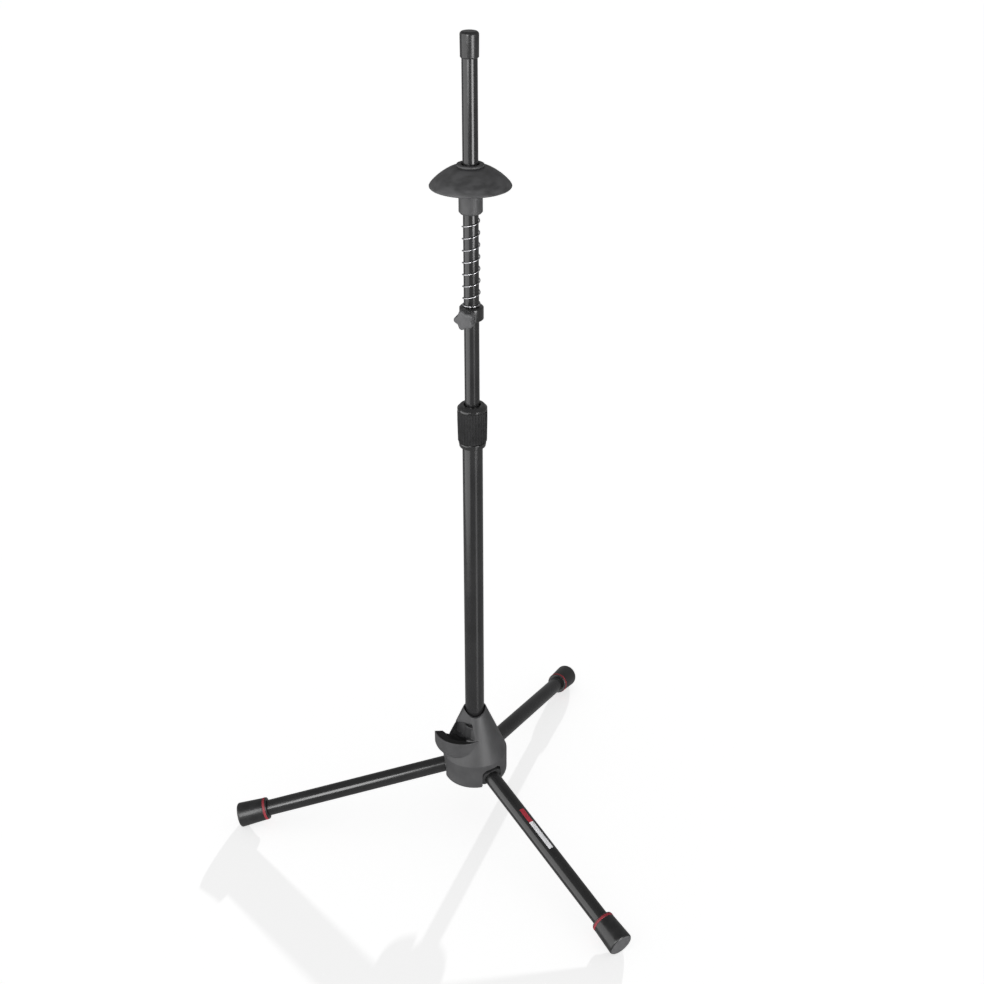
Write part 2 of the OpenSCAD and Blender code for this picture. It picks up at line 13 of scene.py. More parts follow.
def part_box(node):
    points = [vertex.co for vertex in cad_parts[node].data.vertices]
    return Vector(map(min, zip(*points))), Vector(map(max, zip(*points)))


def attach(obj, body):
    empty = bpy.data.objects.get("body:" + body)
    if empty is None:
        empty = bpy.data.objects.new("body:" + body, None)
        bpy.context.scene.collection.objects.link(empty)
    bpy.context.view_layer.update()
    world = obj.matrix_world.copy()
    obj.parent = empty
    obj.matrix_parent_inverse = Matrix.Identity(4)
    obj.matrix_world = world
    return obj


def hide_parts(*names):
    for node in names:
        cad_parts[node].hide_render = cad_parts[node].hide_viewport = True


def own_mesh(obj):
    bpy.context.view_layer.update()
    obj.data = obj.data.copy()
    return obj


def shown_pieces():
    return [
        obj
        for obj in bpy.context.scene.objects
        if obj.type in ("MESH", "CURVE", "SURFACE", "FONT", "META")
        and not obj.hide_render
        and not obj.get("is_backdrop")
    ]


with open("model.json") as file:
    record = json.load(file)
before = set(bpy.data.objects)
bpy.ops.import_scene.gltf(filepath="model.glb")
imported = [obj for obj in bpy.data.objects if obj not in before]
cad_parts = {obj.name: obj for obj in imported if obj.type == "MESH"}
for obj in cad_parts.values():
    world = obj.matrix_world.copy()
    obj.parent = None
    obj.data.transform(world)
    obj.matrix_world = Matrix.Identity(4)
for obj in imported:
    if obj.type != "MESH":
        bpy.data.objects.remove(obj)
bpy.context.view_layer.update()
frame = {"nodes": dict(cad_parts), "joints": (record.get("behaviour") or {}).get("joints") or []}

MM = 0.001
JOINTS = {j["name"]: j for j in frame["joints"]}
LEG_NAMES = ("left", "front", "back")
ORIGIN = Matrix.Identity(4)

# Facets round a turned piece, and the same round a small hole or boss
ROUND_SIDES = 96
DOME_SIDES = 160
HOLE_SIDES = 32
BOSS_SIDES = 48

# Tubes
ROD_WALL = 1.2
MAST_WALL = 1.5
MAST_R = 11.0
LEG_R = 9.0
LEG_WALL = 1.2
CUT_EDGE = 0.4

# Bell rest
SLIDE_BORE_R = 8.05
DOME_WALL = 4.5
RIM_ROUND = 1.5
SHOULDER_R = 18
SHOULDER_DROP = 0.6
DOME_POWER = 1.6
DOME_STEPS = 36
RING_SEAT_R = 14.3
RING_BORE_R = 9.2
STEM_R = 12.8
FLANGE_H = 3
FLANGE_TAPER_H = 4
NECK_R = 12.35
NECK_CHAMFER_W = 1.5
NECK_CHAMFER_H = 1.8
SPRING_SEAT_R = 9.9
SPRING_SEAT_H = 7
SPRING_TURNS = 10

# Clamp screw
SCREW_R = 2.5
SCREW_END = 24
RUNNING = 0.05


# Measures ---------------------------------------------------------------------------------

def span(node):
    """Lowest height, highest height and outer radius of a node turned about the mast, in mm."""
    low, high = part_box(node)
    return low.z / MM, high.z / MM, (high.x - low.x) / 2 / MM


def leg_matrix(name):
    """Leg frame: origin on the hinge pin, +X out along the leg, +Y along the pin."""
    joint = JOINTS[f"leg_{name}_fold"]
    hinge = Vector(joint["pos_m"])
    azimuth = math.atan2(hinge.y, hinge.x)
    slope = math.radians(90 - joint["range_deg"][1])
    turned = Matrix.Rotation(azimuth, 4, "Z") @ Matrix.Rotation(slope, 4, "Y")
    return Matrix.Translation(hinge) @ turned


def along_leg(name):
    """Like leg_matrix, with +Z out along the leg, for turned pieces."""
    return leg_matrix(name) @ Matrix.Rotation(math.radians(90), 4, "Y")


def leg_span(name, node):
    """Nearest and furthest distance of a node from its hinge along its leg, in mm."""
    back = leg_matrix(name).inverted()
    xs = [(back @ v.co).x for v in frame["nodes"][node].data.vertices]
    return min(xs) / MM, max(xs) / MM


def on_knob():
    """Frame of the star knob: origin on the mast's axis, +Z out along the clamp screw."""
    joint = JOINTS["knob_turn"]
    axis = Vector(joint["axis"])
    height = joint["pos_m"][2]
    turn = math.atan2(axis.y, axis.x)
    return (Matrix.Translation((0, 0, height)) @ Matrix.Rotation(turn, 4, "Z")
            @ Matrix.Rotation(math.radians(90), 4, "Y"))


# Mesh helpers -----------------------------------------------------------------------------

def new_object(name, vertices, faces, place=ORIGIN):
    mesh = bpy.data.meshes.new(name)
    mesh.from_pydata([place @ Vector(v) for v in vertices], [], faces)
    obj = bpy.data.objects.new(name, mesh)
    bpy.context.scene.collection.objects.link(obj)
    return obj


def tidy_mesh(obj, sharp=40):
    """Merges doubled points, turns the faces outwards and shades smooth over the soft edges."""
    work = bmesh.new()
    work.from_mesh(obj.data)
    bmesh.ops.remove_doubles(work, verts=work.verts, dist=1e-6)
    bmesh.ops.recalc_face_normals(work, faces=work.faces)
    work.to_mesh(obj.data)
    work.free()
    obj.data.polygons.foreach_set("use_smooth", [True] * len(obj.data.polygons))
    obj.data.set_sharp_from_angle(angle=math.radians(sharp))
    obj.data.update()
    return obj


def arc(centre_r, centre_z, radius, first, last, steps):
    """Points of an arc in an outline, between two angles in degrees, both ends included."""
    angles = [math.radians(first + (last - first) * k / steps) for k in range(steps + 1)]
    return [(centre_r + radius * math.cos(a), centre_z + radius * math.sin(a)) for a in angles]


def rounded(outline, radius, steps=4):
    """The closed outline, each corner off the axis replaced by an arc of at most that radius."""
    straight = math.radians(165)
    most = 0.45
    out = []
    count = len(outline)
    for i, point in enumerate(outline):
        here = Vector(point)
        before = Vector(outline[i - 1]) - here
        after = Vector(outline[(i + 1) % count]) - here
        turn = before.angle(after)
        if here.x < 1e-6 or turn > straight:
            out.append(tuple(here))
            continue
        reach = min(radius / math.tan(turn / 2), before.length * most, after.length * most)
        start = here + before.normalized() * reach
        end = here + after.normalized() * reach
        for k in range(steps + 1):
            t = k / steps
            out.append(tuple(start * (1 - t) ** 2 + here * 2 * t * (1 - t) + end * t ** 2))
    return out


def lathe(name, outline, place=ORIGIN, round_edges=0.3, sides=ROUND_SIDES):
    """A solid turned about +Z from a closed outline of (radius, height) points in mm."""
    profile = rounded(outline, round_edges) if round_edges else outline
    rows = len(profile)
    vertices = []
    for i in range(sides):
        a = 2 * math.pi * i / sides
        vertices += [(r * math.cos(a) * MM, r * math.sin(a) * MM, z * MM) for r, z in profile]
    faces = []
    for i in range(sides):
        j = (i + 1) % sides
        for k in range(rows):
            n = (k + 1) % rows
            if profile[k][0] < 1e-6 and profile[n][0] < 1e-6:
                continue
            faces.append((i * rows + k, j * rows + k, j * rows + n, i * rows + n))
    obj = new_object(name, vertices, faces, place)
    work = bmesh.new()
    work.from_mesh(obj.data)
    bmesh.ops.remove_doubles(work, verts=work.verts, dist=1e-6)
    bmesh.ops.dissolve_degenerate(work, edges=work.edges, dist=1e-7)
    work.to_mesh(obj.data)
    work.free()
    return tidy_mesh(obj)


def wavy_ring(radius, z, count):
    """Points in metres round +Z at a height in mm, as far out as radius(angle) says, in mm."""
    angles = [2 * math.pi * i / count for i in range(count)]
    return [(radius(a) * math.cos(a) * MM, radius(a) * math.sin(a) * MM, z * MM) for a in angles]


def stacked(name, layers, place=ORIGIN):
    """A solid through equal rings of points, closed at both ends."""
    count = len(layers[0])
    vertices = [p for layer in layers for p in layer]
    last = (len(layers) - 1) * count
    faces = [tuple(range(count))[::-1], tuple(range(last, last + count))]
    for i in range(len(layers) - 1):
        for k in range(count):
            n = (k + 1) % count
            faces.append((i * count + k, i * count + n, (i + 1) * count + n, (i + 1) * count + k))
    return tidy_mesh(new_object(name, vertices, faces, place), sharp=50)


def apply_modifiers(obj):
    graph = bpy.context.evaluated_depsgraph_get()
    mesh = bpy.data.meshes.new_from_object(obj.evaluated_get(graph))
    obj.modifiers.clear()
    obj.data = mesh


def softened(name, node, cell, passes, keep=0.35):
    """The node's solid with its edges rounded off, as a moulding's are; cell is in mm."""
    obj = bpy.data.objects.new(name, frame["nodes"][node].data.copy())
    obj.data.materials.clear()
    bpy.context.scene.collection.objects.link(obj)
    tidy_mesh(obj)
    remesh = obj.modifiers.new("Remesh", "REMESH")
    remesh.mode = "VOXEL"
    remesh.voxel_size = cell * MM
    smooth = obj.modifiers.new("Smooth", "SMOOTH")
    smooth.factor = 0.5
    smooth.iterations = passes
    fewer = obj.modifiers.new("Fewer", "DECIMATE")
    fewer.ratio = keep
    apply_modifiers(obj)
    obj.data.polygons.foreach_set("use_smooth", [True] * len(obj.data.polygons))
    obj.data.update()
    return obj


def combine(obj, other, operation, sharp=40):
    """Adds the other solid to the object or takes it out of it, and deletes the other."""
    tool = obj.modifiers.new("Combine", "BOOLEAN")
    tool.operation = operation
    tool.solver = "EXACT"
    tool.object = other
    apply_modifiers(obj)
    bpy.data.objects.remove(other)
    return tidy_mesh(obj, sharp)


def place_piece(obj, body, node, material):
    """Gives a finished piece its finish, and lets it stand for its CAD node on its body."""
    obj.data.materials.clear()
    obj.data.materials.append(material)
    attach(obj, body)
    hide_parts(node)
    return obj


def second_finish(obj, place, material, chosen):
    """Gives a second finish to the faces whose centre, in the place's own frame, is chosen."""
    obj.data.materials.append(material)
    back = place.inverted()
    for face in obj.data.polygons:
        if chosen(back @ face.center, face.center):
            face.material_index = 1


# Materials --------------------------------------------------------------------------------

# Places of the Mix node's colour sockets among its inputs and outputs
MIX_A, MIX_B, MIX_OUT = 6, 7, 2
# Detail of the noise in the broad pattern, in the fine pattern and in the rubbed spots
BROAD_DETAIL, FINE_DETAIL, SPOT_DETAIL = 3, 2, 6
# Size of the rubbed spots next to the broad pattern, and how softly they end
SPOT_SHARE = 0.3
SPOT_EDGE = 0.05
COAT_ROUGHNESS = 0.2


def noise(nodes, links, coordinates, scale, detail, stretch):
    mapping = nodes.new("ShaderNodeMapping")
    mapping.inputs["Scale"].default_value = stretch
    links.new(coordinates, mapping.inputs["Vector"])
    texture = nodes.new("ShaderNodeTexNoise")
    texture.inputs["Scale"].default_value = scale
    texture.inputs["Detail"].default_value = detail
    links.new(mapping.outputs["Vector"], texture.inputs["Vector"])
    return texture.outputs["Fac"]


def between(nodes, links, factor, low, high, start=0.35, end=0.65):
    """Maps a noise value to a number from low to high."""
    node = nodes.new("ShaderNodeMapRange")
    node.inputs["From Min"].default_value = start
    node.inputs["From Max"].default_value = end
    node.inputs["To Min"].default_value = low
    node.inputs["To Max"].default_value = high
    links.new(factor, node.inputs["Value"])
    return node.outputs["Result"]


def tint(nodes, links, factor, first, second, start=0.35, end=0.65):
    """Mixes two colours by a noise value."""
    ramp = nodes.new("ShaderNodeValToRGB")
    ramp.color_ramp.elements[0].position = start
    ramp.color_ramp.elements[0].color = (*first, 1)
    ramp.color_ramp.elements[1].position = end
    ramp.color_ramp.elements[1].color = (*second, 1)
    links.new(factor, ramp.inputs["Fac"])
    return ramp.outputs["Color"]


def surface(name, dark, light, rough, patch, grain, relief, metallic=0.0, specular=0.5, coat=0.0,
            stretch=(1, 1, 1), wear=None):
    """A finish: colour from dark to light in patches, roughness over its range, a fine relief.

    patch and grain are the sizes of the broad and the fine pattern and relief is the height of
    the fine one, all in mm. wear is (colour, threshold) of sparse rubbed spots.
    """
    material = bpy.data.materials.new(name)
    material.use_nodes = True
    nodes, links = material.node_tree.nodes, material.node_tree.links
    shader = nodes["Principled BSDF"]
    where = nodes.new("ShaderNodeTexCoord").outputs["Object"]
    broad = noise(nodes, links, where, 1 / (patch * MM), BROAD_DETAIL, stretch)
    fine = noise(nodes, links, where, 1 / (grain * MM), FINE_DETAIL, stretch)
    colour = tint(nodes, links, broad, dark, light)
    if wear:
        spots = noise(nodes, links, where, 1 / (patch * MM * SPOT_SHARE), SPOT_DETAIL, stretch)
        amount = between(nodes, links, spots, 0, 1, wear[1], wear[1] + SPOT_EDGE)
        mix = nodes.new("ShaderNodeMix")
        mix.data_type = "RGBA"
        links.new(amount, mix.inputs["Factor"])
        links.new(colour, mix.inputs[MIX_A])
        mix.inputs[MIX_B].default_value = (*wear[0], 1)
        colour = mix.outputs[MIX_OUT]
    links.new(colour, shader.inputs["Base Color"])
    links.new(between(nodes, links, broad, *rough), shader.inputs["Roughness"])
    bump = nodes.new("ShaderNodeBump")
    bump.inputs["Distance"].default_value = relief * MM
    links.new(fine, bump.inputs["Height"])
    links.new(bump.outputs["Normal"], shader.inputs["Normal"])
    shader.inputs["Metallic"].default_value = metallic
    shader.inputs["Specular IOR Level"].default_value = specular
    shader.inputs["Coat Weight"].default_value = coat
    shader.inputs["Coat Roughness"].default_value = COAT_ROUGHNESS
    return material


def plain_paint(name, colour, roughness, glow):
    """Paint of the floor and the backdrop: even, without gloss, and glowing a little."""
    material = bpy.data.materials.new(name)
    material.use_nodes = True
    shader = material.node_tree.nodes["Principled BSDF"]
    shader.inputs["Base Color"].default_value = colour
    shader.inputs["Roughness"].default_value = roughness
    shader.inputs["Specular IOR Level"].default_value = 0.0
    shader.inputs["Emission Color"].default_value = (1, 1, 1, 1)
    shader.inputs["Emission Strength"].default_value = glow
    return material


def grey(value):
    """A grey with a trace of blue."""
    return (value, value, value * 1.03)


ENAMEL = surface("black_enamel", grey(0.010), grey(0.014), (0.17, 0.25), 40, 1.2, 0.0004,
                 coat=0.3, wear=(grey(0.03), 0.76))
GLOSS = surface("gloss_black", grey(0.010), grey(0.014), (0.10, 0.16), 12, 0.8, 0.002, coat=0.6)
CAP_RUBBER = surface("cap_rubber", grey(0.012), grey(0.017), (0.26, 0.34), 9, 0.60, 0.0004,
                     coat=0.2)
GRIP_RUBBER = surface("grip_rubber", grey(0.010), grey(0.015), (0.58, 0.70), 6, 0.30, 0.012,
                      specular=0.25)
LINING_RUBBER = surface("lining_rubber", grey(0.008), grey(0.012), (0.60, 0.75), 5, 0.30, 0.010,
                        specular=0.25)
FOOT_RUBBER = surface("foot_rubber", grey(0.010), grey(0.015), (0.28, 0.38), 8, 0.60, 0.002,
                      coat=0.2, wear=(grey(0.05), 0.70))
# End face of the foot caps, painted a lighter grey than the rest of the cap: a painted highlight
# standing in for the front light falling on it
FOOT_FACE_PAINTED_HIGHLIGHT = surface("foot_face_painted_highlight", grey(0.060), grey(0.085), (0.50, 0.62), 6, 0.60, 0.006)
DOME_RUBBER = surface("dome_rubber", grey(0.034), grey(0.066), (0.40, 0.54), 14, 0.60, 0.006,
                      stretch=(1, 1, 2.5))
HUB_PLASTIC = surface("hub_plastic", grey(0.040), grey(0.050), (0.42, 0.52), 18, 0.60, 0.004,
                      wear=(grey(0.09), 0.78))
CORE_PLASTIC = surface("core_plastic", grey(0.040), grey(0.050), (0.42, 0.52), 10, 0.40, 0.010)
KNOB_PLASTIC = surface("knob_plastic", grey(0.060), grey(0.072), (0.48, 0.58), 7, 0.35, 0.010)
INNER_PLASTIC = surface("inner_plastic", grey(0.050), grey(0.065), (0.45, 0.60), 8, 0.40, 0.020)
KNUCKLE_PLASTIC = surface("knuckle_plastic", grey(0.018), grey(0.026), (0.40, 0.50), 8, 0.60,
                          0.004)
LIGHT_PLASTIC = surface("light_plastic", grey(0.14), grey(0.17), (0.42, 0.52), 8, 0.40, 0.012)
STEEL = surface("bright_steel", grey(0.62), grey(0.72), (0.18, 0.30), 4, 0.25, 0.004,
                metallic=1.0)
RED_RUBBER = surface("red_rubber", (0.17, 0.012, 0.020), (0.24, 0.020, 0.030), (0.45, 0.58),
                     5, 0.35, 0.015)
LABEL_RED = surface("label_red", (0.30, 0.022, 0.035), (0.34, 0.030, 0.045), (0.30, 0.38),
                    14, 1.0, 0.003)
LABEL_WHITE = surface("label_white", grey(0.62), grey(0.68), (0.30, 0.38), 14, 1.0, 0.003)


# Mast pieces ------------------------------------------------------------------------------

def make_cap():
    z0, z1, r = span("top_cap")
    _, rod_top, rod_r = span("upper_rod")
    taper, bevel_w, bevel_h, crown_r = 0.2, 0.9, 1.0, 3.2
    low_r = r - taper
    outline = ([(rod_r, z0), (low_r - bevel_w, z0), (low_r, z0 + bevel_h)]
               + arc(r - crown_r, z1 - crown_r, crown_r, 0, 90, 10)
               + [(0, z1), (0, rod_top), (rod_r, rod_top)])
    place_piece(lathe("cap_on_rod", outline), "rod", "top_cap", CAP_RUBBER)


def make_tube(name, node, body, wall):
    z0, z1, r = span(node)
    outline = [(r - wall, z0), (r, z0), (r, z1), (r - wall, z1)]
    place_piece(lathe(name, outline, round_edges=CUT_EDGE), body, node, ENAMEL)


def make_dome():
    z0, z1, r = span("bell_dome")
    top = z1 - SHOULDER_DROP
    rim_z = z0 + RIM_ROUND
    height = top - rim_z

    def skin(radius, rise):
        angles = [math.radians(90 * i / DOME_STEPS) for i in range(DOME_STEPS + 1)]
        return [(SHOULDER_R + (radius - SHOULDER_R) * math.sin(a) ** DOME_POWER,
                 rim_z + rise * math.cos(a) ** DOME_POWER) for a in angles]

    outer = skin(r, height)
    inner = skin(r - 2 * RIM_ROUND, height - DOME_WALL)[::-1]
    lip = arc(r - RIM_ROUND, rim_z, RIM_ROUND, -18, -162, 8)
    outline = ([(STEM_R, z1), (RING_SEAT_R, z1)] + outer + lip + inner
               + [(STEM_R, top - DOME_WALL)])
    dome = lathe("dome_of_rest", outline, round_edges=0, sides=DOME_SIDES)
    place_piece(dome, "bell_rest", "bell_dome", DOME_RUBBER)


def make_core():
    """Flange under the dome, the neck below it, and the seat of the spring inside the neck."""
    z0, z1, r = span("dome_core")
    flange_z = z1 - SHOULDER_DROP - DOME_WALL - FLANGE_H
    seat_z = z0 + SPRING_SEAT_H
    outline = [
        (SPRING_SEAT_R, z0), (NECK_R - NECK_CHAMFER_W, z0), (NECK_R, z0 + NECK_CHAMFER_H),
        (NECK_R, flange_z - FLANGE_TAPER_H), (r, flange_z), (r, flange_z + FLANGE_H),
        (STEM_R, flange_z + FLANGE_H), (STEM_R, z1), (SLIDE_BORE_R, z1), (SLIDE_BORE_R, seat_z),
        (SPRING_SEAT_R, seat_z)
    ]
    place_piece(lathe("core_of_rest", outline), "bell_rest", "dome_core",
                CORE_PLASTIC)


def make_ring():
    z0, z1, r = span("dome_ring")
    outline = [(RING_BORE_R, z0), (r, z0), (r, z1), (RING_BORE_R, z1)]
    ring = lathe("ring_on_dome", outline, round_edges=1.3)
    place_piece(ring, "bell_rest", "dome_ring", CORE_PLASTIC)


def make_spring():
    """Round wire wound right-handed, with a closed turn at each end."""
    z0, z1, r = span("bell_spring")
    wire = 0.6
    per_turn, sides = 48, 12
    closed = 1.15 * 2 * wire
    live = (z1 - z0 - 2 * wire - 2 * closed) / (SPRING_TURNS - 2)
    path_r = r - wire

    def height_at(t):
        """Height of the wire's middle after t turns."""
        return (z0 + wire + closed * min(t, 1) + live * min(max(t - 1, 0), SPRING_TURNS - 2)
                + closed * max(t - SPRING_TURNS + 1, 0))

    rings = []
    for i in range(SPRING_TURNS * per_turn + 1):
        height = height_at(i / per_turn)
        a = 2 * math.pi * (i / per_turn)
        ring = []
        for k in range(sides):
            b = 2 * math.pi * k / sides
            out = path_r + wire * math.cos(b)
            ring.append((out * math.cos(a) * MM, out * math.sin(a) * MM,
                         (height + wire * math.sin(b)) * MM))
        rings.append(ring)
    spring = stacked("spring_wire", rings)
    place_piece(spring, "collar", "bell_spring", STEEL)
    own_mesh(spring)


def make_collar():
    z0, z1, r = span("clamp_collar")
    top_bevel, low_bevel, past = 1.6, 0.8, 2
    outline = [(SLIDE_BORE_R, z0), (r - low_bevel, z0), (r, z0 + low_bevel),
               (r, z1 - top_bevel), (r - top_bevel, z1), (SLIDE_BORE_R, z1)]
    collar = lathe("collar_of_clamp", outline, round_edges=0.5)
    hole_r = SCREW_R + RUNNING
    hole = lathe("hole", [(0, 0), (hole_r, 0), (hole_r, r + past), (0, r + past)], on_knob(), 0,
                 HOLE_SIDES)
    place_piece(combine(collar, hole, "DIFFERENCE"), "collar", "clamp_collar",
                GLOSS)


def make_knob():
    """Five-lobed knob with a rounded face edge, on a short boss."""
    place = on_knob()
    back = place.inverted()
    heights = [(back @ v.co).z for v in frame["nodes"]["star_knob"].data.vertices]
    boss_z, face_z = min(heights) / MM, max(heights) / MM
    knob_r, back_z, boss_r = 11.0, 16.5, 5
    lobes, wave, phase, count = 5, 1.3, math.radians(-17), 120
    overlap, past = 1, 2

    def star(z, inset):
        return wavy_ring(lambda a: knob_r - wave * (1 - math.cos(lobes * (a - phase))) - inset,
                         z, count)

    # Distance in from the back or from the face, and how far the edge is set in there
    back_edge = ((0, 1.2), (0.2, 0.5), (0.7, 0.0))
    face_edge = ((2.2, 0.0), (1.3, 0.25), (0.6, 0.8), (0.2, 1.7), (0, 3.0))
    layers = ([star(back_z + step, inset) for step, inset in back_edge]
              + [star(face_z - step, inset) for step, inset in face_edge])
    knob = stacked("star_of_knob", layers, place)
    boss_top = back_z + overlap
    boss = lathe("boss", [(0, boss_z), (boss_r, boss_z), (boss_r, boss_top), (0, boss_top)],
                 place, 0.4, BOSS_SIDES)
    combine(knob, boss, "UNION", 50)
    hole_z = boss_z - past
    hole = lathe("hole", [(0, hole_z), (SCREW_R, hole_z), (SCREW_R, SCREW_END), (0, SCREW_END)],
                 place, 0, HOLE_SIDES)
    place_piece(combine(knob, hole, "DIFFERENCE"), "knob", "star_knob",
                KNOB_PLASTIC)


def make_lock_ring():
    z0, z1, r = span("lock_ring")
    bevel_w, bevel_h = 3.2, 3.5
    outline = [(RING_BORE_R, z0), (r, z0), (r, z1 - bevel_h), (r - bevel_w, z1),
               (RING_BORE_R, z1)]
    place_piece(lathe("ring_of_lock", outline, round_edges=0.6), "lock", "lock_ring",
                GLOSS)


def make_lock_grip():
    """Ribbed grip, a little narrower towards its lower end."""
    z0, z1, r = span("lock_grip")
    ribs, depth, sleeve_r, past = 30, 1.0, 14.2, 1
    count = ribs * 8

    def ring(z, inset):
        return wavy_ring(lambda a: r - depth / 2 * (1 - math.cos(ribs * a)) - inset, z, count)

    # Distance in from the lower or from the upper end, and how far the ribs are set in there
    low_edge = ((0, 1.4), (0.3, 0.8), (1.0, 0.5))
    top_edge = ((12.0, 0.0), (1.0, 0.0), (0.3, 0.3), (0, 0.9))
    layers = ([ring(z0 + step, inset) for step, inset in low_edge]
              + [ring(z1 - step, inset) for step, inset in top_edge])
    grip = stacked("grip_of_lock", layers)
    low, high = z0 - past, z1 + past
    bore = lathe("bore", [(0, low), (sleeve_r, low), (sleeve_r, high), (0, high)], round_edges=0)
    place_piece(combine(grip, bore, "DIFFERENCE"), "lock", "lock_grip",
                GRIP_RUBBER)


def make_lock_base():
    z0, z1, r = span("lock_base")
    low_r, taper_h, thread_r, gap = 14.2, 4, 12.6, 0.5
    grip_z = span("lock_grip")[0] - gap
    outline = [(MAST_R, z0), (low_r, z0), (r, z0 + taper_h), (r, grip_z), (thread_r, grip_z),
               (thread_r, z1), (MAST_R, z1)]
    place_piece(lathe("ferrule_of_lock", outline, round_edges=0.6), "base", "lock_base",
                GLOSS)


# Hub and legs -----------------------------------------------------------------------------

def make_hub():
    hub = softened("moulding_of_hub", "hub_body", cell=0.5, passes=4)
    place_piece(hub, "base", "hub_body", HUB_PLASTIC)
    lining = softened("lining_of_hook", "hook_liner", cell=0.35, passes=3)
    place_piece(lining, "base", "hook_liner", LINING_RUBBER)


def make_leg(name):
    body = f"leg_{name}"
    place = along_leg(name)
    knuckle = softened(f"end_of_{body}", f"{body}_knuckle", cell=0.4, passes=4)
    place_piece(knuckle, body, f"{body}_knuckle", KNUCKLE_PLASTIC)

    start, end = leg_span(name, f"{body}_tube")
    bore_r = LEG_R - LEG_WALL
    outline = [(bore_r, start), (LEG_R, start), (LEG_R, end), (bore_r, end)]
    place_piece(lathe(f"tube_of_{body}", outline, place, CUT_EDGE), body, f"{body}_tube",
                ENAMEL)
    make_foot(name, body, place)


def make_foot(name, body, place):
    """Flared rubber cap with a groove for its red ring, flattened where it stands."""
    mouth, end = leg_span(name, f"{body}_foot")
    ring0, ring1 = leg_span(name, f"{body}_foot_ring")
    mouth_r, end_r, edge, groove, wall = 12.5, 13.99, 2.5, 1.3, 4.0
    mouth_bevel, face_depth, proud = 0.5, 0.6, 0.35
    groove_r = mouth_r - groove
    skin_at_ring = mouth_r + (end_r - mouth_r) * (ring1 - mouth) / (end - mouth)

    outline = ([(LEG_R, mouth), (mouth_r - mouth_bevel, mouth), (mouth_r, mouth + mouth_bevel),
                (mouth_r, ring0), (groove_r, ring0), (groove_r, ring1), (skin_at_ring, ring1)]
               + arc(end_r - edge, end - edge, edge, 0, 90, 10)
               + [(0, end), (0, end - wall), (LEG_R, end - wall)])
    foot = lathe(f"cap_of_{body}", outline, place, 0.25)
    for vertex in foot.data.vertices:
        vertex.co.z = max(vertex.co.z, 0)
    place_piece(foot, body, f"{body}_foot", FOOT_RUBBER)
    # Painted highlight: the cap's end face gets the lighter grey finish for the front light
    # falling on it
    second_finish(foot, place, FOOT_FACE_PAINTED_HIGHLIGHT,
                  lambda local, world: local.z / MM > end - face_depth and world.z > 0)

    ring_r = mouth_r + proud
    outline = [(groove_r, ring0), (ring_r, ring0), (ring_r, ring1), (groove_r, ring1)]
    ring = lathe(f"ring_of_{body}", outline, place, 0.5)
    place_piece(ring, body, f"{body}_foot_ring", RED_RUBBER)


def make_label():
    """Thin sticker on the front leg: a red block, then a white one, with no lettering."""
    start, end = leg_span("front", "leg_label")
    split = start + (end - start) / 3
    outer = 9.15
    width, steps, line = 33, 24, 0.01
    place = leg_matrix("front")
    stops = [start, split - line, split, end]
    vertices, faces = [], []
    for x in stops:
        for r in (LEG_R, outer):
            for i in range(steps + 1):
                a = math.radians(width * (i / steps - 0.5))
                vertices.append((x * MM, r * math.sin(a) * MM, r * math.cos(a) * MM))
    row, layer = steps + 1, 2 * (steps + 1)
    for s in range(len(stops) - 1):
        for i in range(steps):
            for base in (0, row):
                p = s * layer + base + i
                faces.append((p, p + 1, p + 1 + layer, p + layer))
        for i in (0, steps):
            p = s * layer + i
            faces.append((p, p + row, p + row + layer, p + layer))
    for s in (0, len(stops) - 1):
        for i in range(steps):
            p = s * layer + i
            faces.append((p, p + 1, p + 1 + row, p + row))
    label = tidy_mesh(new_object("sticker_on_leg_front", vertices, faces, place))
    place_piece(label, "leg_front", "leg_label", LABEL_WHITE)
    second_finish(label, place, LABEL_RED, lambda local, _: local.x / MM < split - line / 2)


def finish_hidden_parts():
    """Finishes of the CAD pieces that stay as they are inside the stand."""
    finishes = {
        "rod_guide_bush": INNER_PLASTIC, "clamp_screw": STEEL, "lock_sleeve": INNER_PLASTIC,
        "lock_collet": LIGHT_PLASTIC, "tube_plug": INNER_PLASTIC, "hub_base_plate": HUB_PLASTIC,
        "hub_bolt": STEEL, "hinge_pins": STEEL,
    }
    for node, material in finishes.items():
        for slot in frame["nodes"][node].material_slots:
            slot.material = material


# Stage ------------------------------------------------------------------------------------

FLOOR_GLOW = 0.69
ROOM_LIGHT = 0.23
LIGHTS_AIM_Z = 0.45
# Name, azimuth, elevation, distance, width, height, power
SOFTBOXES = (
    ("wall_left", 200, 3, 2.2, 3.2, 3.0, 50),
    ("strip_right", 306, 4, 2.2, 1.0, 1.3, 31),
    ("strip_low", 303, -32, 2.4, 0.6, 1.4, 3),
    ("front_high", 244, 22, 2.2, 0.8, 1.3, 24),
)
FRONT_FILL = ("front_low", 268, -30, 2.2, 1.4, 0.9, 24)
SUN_AZIMUTH, SUN_ELEVATION, SUN_POWER, SUN_WIDTH = 70.6, 13.8, 1.6, 0.9


def polar(azimuth, elevation, distance, height):
    """A point seen from (0, 0, height) in a direction given in degrees."""
    a, e = math.radians(azimuth), math.radians(elevation)
    return Vector((math.cos(a) * math.cos(e) * distance, math.sin(a) * math.cos(e) * distance,
                   height + math.sin(e) * distance))


def softbox(lit, name, azimuth, elevation, distance, width, height, power):
    """A rectangular light facing the middle of the stand, for the lit pieces only."""
    data = bpy.data.lights.new(name, "AREA")
    data.shape = "RECTANGLE"
    data.size, data.size_y = width, height
    data.energy = power
    light = bpy.data.objects.new(name, data)
    light.location = polar(azimuth, elevation, distance, LIGHTS_AIM_Z)
    facing = Vector((0, 0, LIGHTS_AIM_Z)) - light.location
    light.rotation_euler = facing.to_track_quat("-Z", "Y").to_euler()
    bpy.context.scene.collection.objects.link(light)
    light.light_linking.receiver_collection = lit
    return light


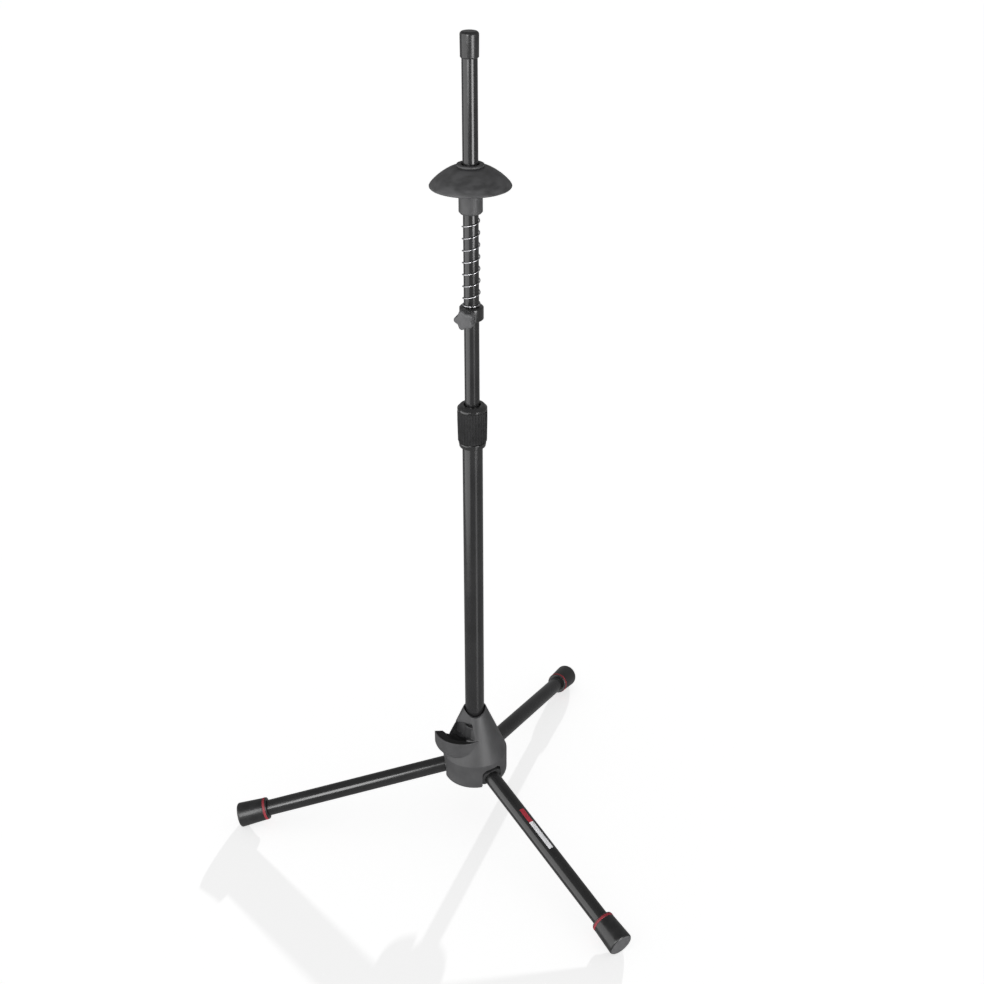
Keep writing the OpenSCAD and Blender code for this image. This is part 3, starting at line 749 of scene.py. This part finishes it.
def make_floor():
    """Pale floor that stays out of the glossy reflections."""
    half = 40.0
    corners = [(-half, -half, 0), (half, -half, 0), (half, half, 0), (-half, half, 0)]
    floor = new_object("floor", corners, [(0, 1, 2, 3)])
    floor.data.materials.append(plain_paint("floor_paint", (0.9, 0.9, 0.9, 1), 0.9, FLOOR_GLOW))
    floor.visible_glossy = False
    floor.visible_shadow = False
    floor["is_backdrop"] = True


def make_backdrop():
    """Pale wall far behind, seen only by the camera, so that low views have no dark horizon."""
    radius, height, sides = 39.0, 60.0, 64
    angles = [2 * math.pi * i / sides for i in range(sides)]
    foot = [(radius * math.cos(a), radius * math.sin(a)) for a in angles]
    vertices = [(x, y, 0) for x, y in foot] + [(x, y, height) for x, y in foot]
    faces = [(i, (i + 1) % sides, (i + 1) % sides + sides, i + sides) for i in range(sides)]
    wall = new_object("backdrop", vertices, faces)
    wall.data.materials.append(plain_paint("backdrop_paint", (0, 0, 0, 1), 0.5, 1.0))
    wall.visible_diffuse = False
    wall.visible_glossy = False
    wall.visible_shadow = False
    wall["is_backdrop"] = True


def make_lights():
    """Softboxes for the pieces, and a low sun behind that throws the bands on the floor."""
    lit = bpy.data.collections.new("lit_pieces")
    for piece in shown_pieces():
        lit.objects.link(piece)
    for box in SOFTBOXES:
        softbox(lit, *box)
    fill = softbox(lit, *FRONT_FILL)
    fill.visible_glossy = False
    sun = bpy.data.lights.new("low_sun", "SUN")
    sun.energy = SUN_POWER
    sun.angle = math.radians(SUN_WIDTH)
    low_sun = bpy.data.objects.new("low_sun", sun)
    towards = polar(SUN_AZIMUTH, SUN_ELEVATION, 1, 0)
    low_sun.rotation_euler = towards.to_track_quat("Z", "Y").to_euler()
    bpy.context.scene.collection.objects.link(low_sun)
    low_sun.visible_glossy = False


def make_world():
    world = bpy.data.worlds.new("room")
    world.use_nodes = True
    background = world.node_tree.nodes["Background"]
    background.inputs["Color"].default_value = (1, 1, 1, 1)
    background.inputs["Strength"].default_value = ROOM_LIGHT
    bpy.context.scene.world = world


def make_camera():
    """Camera fitted to the tubes, heights and feet; the picture is an off-centre crop."""
    distance, height = 1.4217, 1.2072
    azimuth, heading = math.radians(266.66), math.radians(83.81)
    pitch, roll = math.radians(22.66), math.radians(0.64)
    sensor_mm, lens_mm, shift_x, shift_y = 36, 53.714634, -0.0479675, -0.1539634
    forward = Vector((math.cos(heading) * math.cos(pitch), math.sin(heading) * math.cos(pitch),
                      -math.sin(pitch)))
    level = Vector((math.sin(heading), -math.cos(heading), 0))
    raised = level.cross(forward)
    right = level * math.cos(roll) + raised * math.sin(roll)
    up = raised * math.cos(roll) - level * math.sin(roll)
    data = bpy.data.cameras.new("camera")
    data.sensor_width, data.lens = sensor_mm, lens_mm
    data.shift_x, data.shift_y = shift_x, shift_y
    data.clip_end = 100
    camera = bpy.data.objects.new("camera", data)
    place = Matrix((right, up, -forward)).transposed().to_4x4()
    place.translation = Vector((math.cos(azimuth) * distance, math.sin(azimuth) * distance,
                                height))
    camera.matrix_world = place
    bpy.context.scene.collection.objects.link(camera)
    bpy.context.scene.camera = camera


make_cap()
make_tube("tube_of_rod", "upper_rod", "rod", ROD_WALL)
make_dome()
make_core()
make_ring()
make_spring()
make_collar()
make_knob()
make_lock_ring()
make_lock_grip()
make_lock_base()
make_tube("tube_of_mast", "lower_tube", "base", MAST_WALL)
make_hub()
for leg in LEG_NAMES:
    make_leg(leg)
make_label()
finish_hidden_parts()
make_floor()
make_backdrop()
make_lights()
make_world()
make_camera()
bpy.context.scene.view_settings.view_transform = "Standard"
